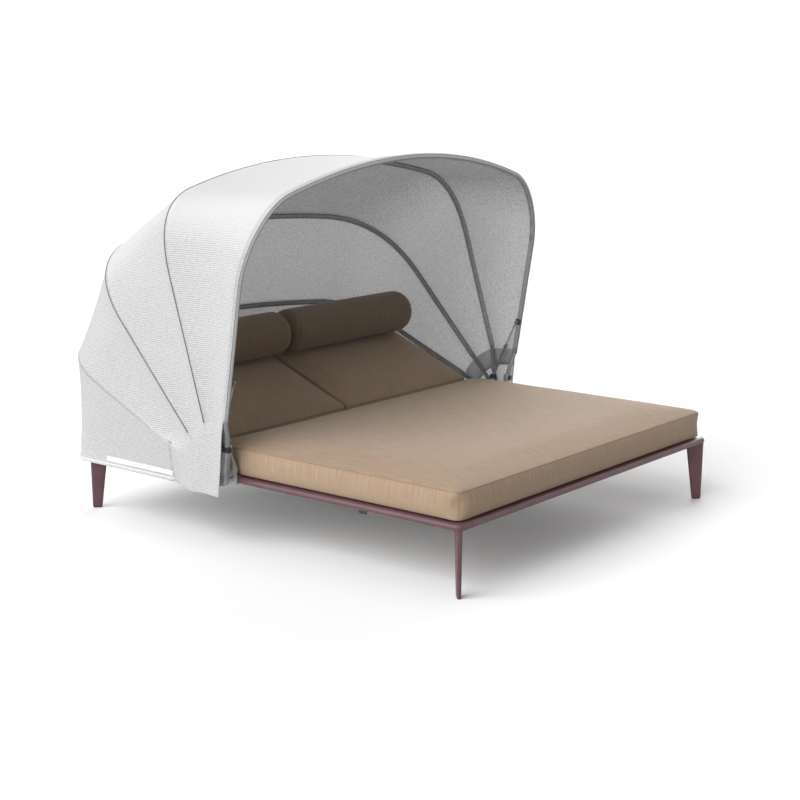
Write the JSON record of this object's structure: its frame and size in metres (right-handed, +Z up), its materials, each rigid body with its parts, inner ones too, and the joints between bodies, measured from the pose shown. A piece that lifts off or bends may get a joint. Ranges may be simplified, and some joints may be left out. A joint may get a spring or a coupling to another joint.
{
  "type": "canopy daybed",
  "caption": "Double outdoor daybed on blade legs, with a mattress, reclining backrests with bolsters and a folding hoop canopy of shade mesh.",
  "frame": {"origin": "on the floor, under the middle of the whole outline", "axes": "+Z up, +Y towards the head end and the canopy, +X to the right of a person who lies with the head at the head end and faces up"},
  "size_m": [2.0866, 2.2932, 1.5902],
  "materials": {
    "frame_coat": "fine-textured powder coat, burgundy",
    "plain_aluminium": "mill finish",
    "bright_metal": "satin anodised",
    "grey_coat": "dark grey powder coat",
    "cushion_fabric": "coarse outdoor weave, taupe",
    "shade_fabric": "open shade mesh, off-white outside and grey inside",
    "clamp_plastic": "moulded, dark blue",
    "glide_plastic": "moulded, black"
  },
  "bodies": {
    "frame": {"side_rail_left": "frame_coat", "side_rail_right": "frame_coat", "foot_rail": "frame_coat", "head_rail": "frame_coat", "corner_leg_foot_left": "frame_coat", "corner_leg_foot_right": "frame_coat", "corner_leg_head_left": "frame_coat", "corner_leg_head_right": "frame_coat", "glide_foot_left": "glide_plastic", "glide_foot_right": "glide_plastic", "glide_head_left": "glide_plastic", "glide_head_right": "glide_plastic", "foot_cross_bearer": "plain_aluminium", "hinge_cross_bearer": "plain_aluminium", "rack_cross_bearer": "plain_aluminium", "head_cross_bearer": "plain_aluminium", "centre_bearer": "plain_aluminium", "seat_slat_deck": "plain_aluminium", "seat_mattress": "cushion_fabric", "hinge_rod_left": "bright_metal", "hinge_rod_right": "bright_metal", "prop_rack_left": "grey_coat", "prop_rack_right": "grey_coat", "hub_bracket_left": "bright_metal", "hub_bracket_right": "bright_metal", "axle_cap_left": "grey_coat", "axle_cap_right": "grey_coat", "bracket_screw_left": "grey_coat", "bracket_screw_right": "grey_coat", "rear_hoop": "bright_metal", "canopy_rear_panel": "shade_fabric", "back_skirt": "shade_fabric", "hub_flap_left": "shade_fabric", "hub_flap_right": "shade_fabric"},
    "third_hoop": {"third_hoop": "bright_metal", "canopy_middle_panel": "shade_fabric"},
    "second_hoop": {"second_hoop": "bright_metal", "canopy_front_panel": "shade_fabric", "stay_clamp_lower_left": "clamp_plastic", "stay_clamp_lower_right": "clamp_plastic"},
    "front_hoop": {"front_hoop": "bright_metal", "front_hoop_knuckle_left": "bright_metal", "front_hoop_knuckle_right": "bright_metal", "stay_clamp_upper_left": "clamp_plastic", "stay_clamp_upper_right": "clamp_plastic"},
    "backrest_left": {"backrest_frame_left": "plain_aluminium", "backrest_cushion_left": "cushion_fabric", "bolster_left": "cushion_fabric"},
    "prop_left": {"prop_bail_left": "bright_metal"},
    "stay_tube_left": {"stay_tube_left": "grey_coat"},
    "stay_rod_left": {"stay_rod_left": "bright_metal"},
    "stay_button_left": {"stay_button_left": "clamp_plastic"},
    "backrest_right": {"backrest_frame_right": "plain_aluminium", "backrest_cushion_right": "cushion_fabric", "bolster_right": "cushion_fabric"},
    "prop_right": {"prop_bail_right": "bright_metal"},
    "stay_tube_right": {"stay_tube_right": "grey_coat"},
    "stay_rod_right": {"stay_rod_right": "bright_metal"},
    "stay_button_right": {"stay_button_right": "clamp_plastic"}
  },
  "joints": [
    {"name": "canopy_fold", "type": "hinge", "parent": "frame", "child": "third_hoop", "pos_m": [0, 0.03592, 0.279], "axis": [-1, 0, 0], "range_deg": [0, 18.5], "deforming": ["canopy_rear_panel"]},
    {"name": "second_hoop_fold", "type": "hinge", "parent": "third_hoop", "child": "second_hoop", "pos_m": [0, 0.03592, 0.279], "axis": [-1, 0, 0], "range_deg": [-0.2, 20.86], "deforming": ["canopy_middle_panel"]},
    {"name": "front_hoop_fold", "type": "hinge", "parent": "second_hoop", "child": "front_hoop", "pos_m": [0, 0.03592, 0.279], "axis": [-1, 0, 0], "range_deg": [-0.2, 20.34], "deforming": ["canopy_front_panel"]},
    {"name": "backrest_left_recline", "type": "hinge", "parent": "frame", "child": "backrest_left", "pos_m": [-0.44, 0.19592, 0.2893], "axis": [1, 0, 0], "range_deg": [-22, 16]},
    {"name": "prop_left_swing", "type": "hinge", "parent": "backrest_left", "child": "prop_left", "pos_m": [-0.438, 0.51126, 0.38974], "axis": [-1, 0, 0], "range_deg": [-51, 37.5]},
    {"name": "stay_left_swing", "type": "hinge", "parent": "second_hoop", "child": "stay_tube_left", "pos_m": [-0.968, 0.07995, 0.42448], "axis": [-1, 0, 0], "range_deg": [-0.3, 29.91]},
    {"name": "stay_left_slide", "type": "slide", "parent": "stay_tube_left", "child": "stay_rod_left", "axis": [-0.1, -0.3725, 0.9226], "range_m": [-0.02212, 0.0003]},
    {"name": "stay_left_button_press", "type": "slide", "parent": "stay_tube_left", "child": "stay_button_left", "axis": [-1, 0, 0], "range_m": [0, 0.0012], "stiffness_N_per_m": 900, "springref_m": -0.002},
    {"name": "backrest_right_recline", "type": "hinge", "parent": "frame", "child": "backrest_right", "pos_m": [0.44, 0.19592, 0.2893], "axis": [1, 0, 0], "range_deg": [-22, 16]},
    {"name": "prop_right_swing", "type": "hinge", "parent": "backrest_right", "child": "prop_right", "pos_m": [0.438, 0.51126, 0.38974], "axis": [-1, 0, 0], "range_deg": [-51, 37.5]},
    {"name": "stay_right_swing", "type": "hinge", "parent": "second_hoop", "child": "stay_tube_right", "pos_m": [0.968, 0.07995, 0.42448], "axis": [-1, 0, 0], "range_deg": [-0.3, 29.91]},
    {"name": "stay_right_slide", "type": "slide", "parent": "stay_tube_right", "child": "stay_rod_right", "axis": [0.1, -0.3725, 0.9226], "range_m": [-0.02212, 0.0003]},
    {"name": "stay_right_button_press", "type": "slide", "parent": "stay_tube_right", "child": "stay_button_right", "axis": [1, 0, 0], "range_m": [0, 0.0012], "stiffness_N_per_m": 900, "springref_m": -0.002}
  ],
  "couplings": [
    {"joint": "second_hoop_fold", "follows": "canopy_fold", "ratio": 1.1168},
    {"joint": "front_hoop_fold", "follows": "canopy_fold", "ratio": 1.0886},
    {"joint": "prop_left_swing", "follows": "backrest_left_recline", "ratio": 2.3},
    {"joint": "stay_left_swing", "follows": "canopy_fold", "ratio": 1.6005},
    {"joint": "stay_left_slide", "follows": "canopy_fold", "m_per_rad": -0.067578},
    {"joint": "prop_right_swing", "follows": "backrest_right_recline", "ratio": 2.3},
    {"joint": "stay_right_swing", "follows": "canopy_fold", "ratio": 1.6005},
    {"joint": "stay_right_slide", "follows": "canopy_fold", "m_per_rad": -0.067578}
  ]
}
